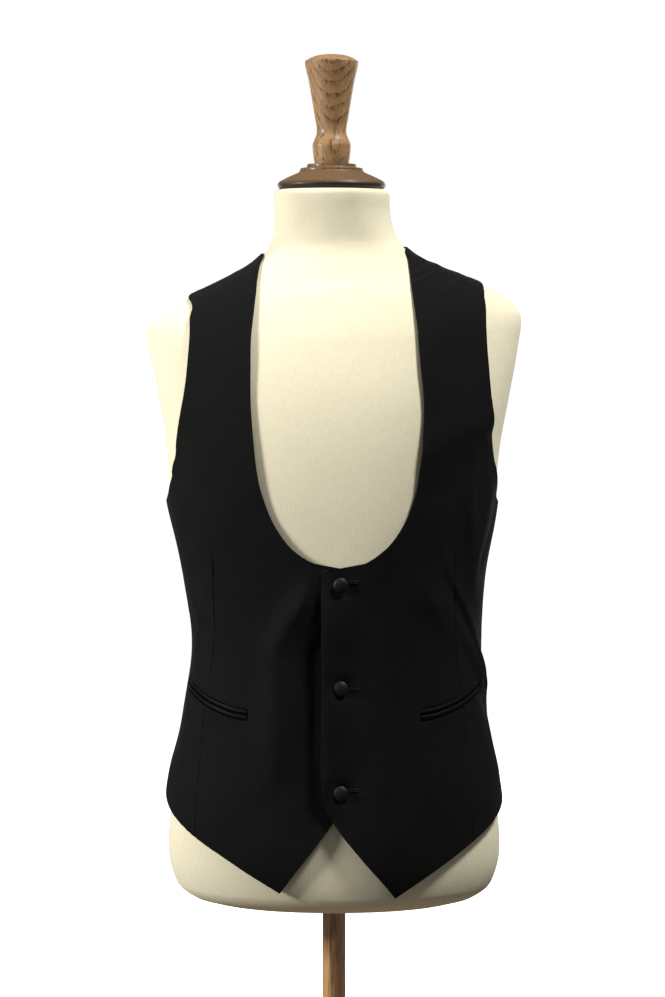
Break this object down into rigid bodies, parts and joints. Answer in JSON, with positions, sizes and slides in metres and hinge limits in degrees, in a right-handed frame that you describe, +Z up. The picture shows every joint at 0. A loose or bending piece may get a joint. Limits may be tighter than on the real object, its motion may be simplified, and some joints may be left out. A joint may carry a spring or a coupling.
{
  "type": "suit waistcoat on dress form",
  "caption": "Black evening waistcoat with a deep U front, jetted pockets and covered buttons, worn on a limbless dress form with a turned wooden cap, pole and round foot.",
  "frame": {"origin": "middle of the foot's underside, on the surface that the form stands on", "axes": "+Z up, -Y towards the front of the waistcoat, +X towards the wearer's left"},
  "size_m": [0.39, 0.33, 1.1033],
  "materials": {
    "wool": "matt black wool barathea",
    "satin": "black satin with a soft sheen",
    "button": "black satin, tightly covered",
    "jersey": "matt cream jersey",
    "wood": "varnished mid-brown wood"
  },
  "bodies": {
    "root": {"front_left": "wool", "front_right": "wool", "back_left": "satin", "back_right": "satin", "pocket_left_upper_jet": "satin", "pocket_left_lower_jet": "satin", "pocket_right_upper_jet": "satin", "pocket_right_lower_jet": "satin", "button_bottom": "button", "button_middle": "button", "button_top": "button", "form_torso": "jersey", "neck_cap": "wood", "knob": "wood", "pole": "wood", "foot": "wood"}
  },
  "joints": []
}
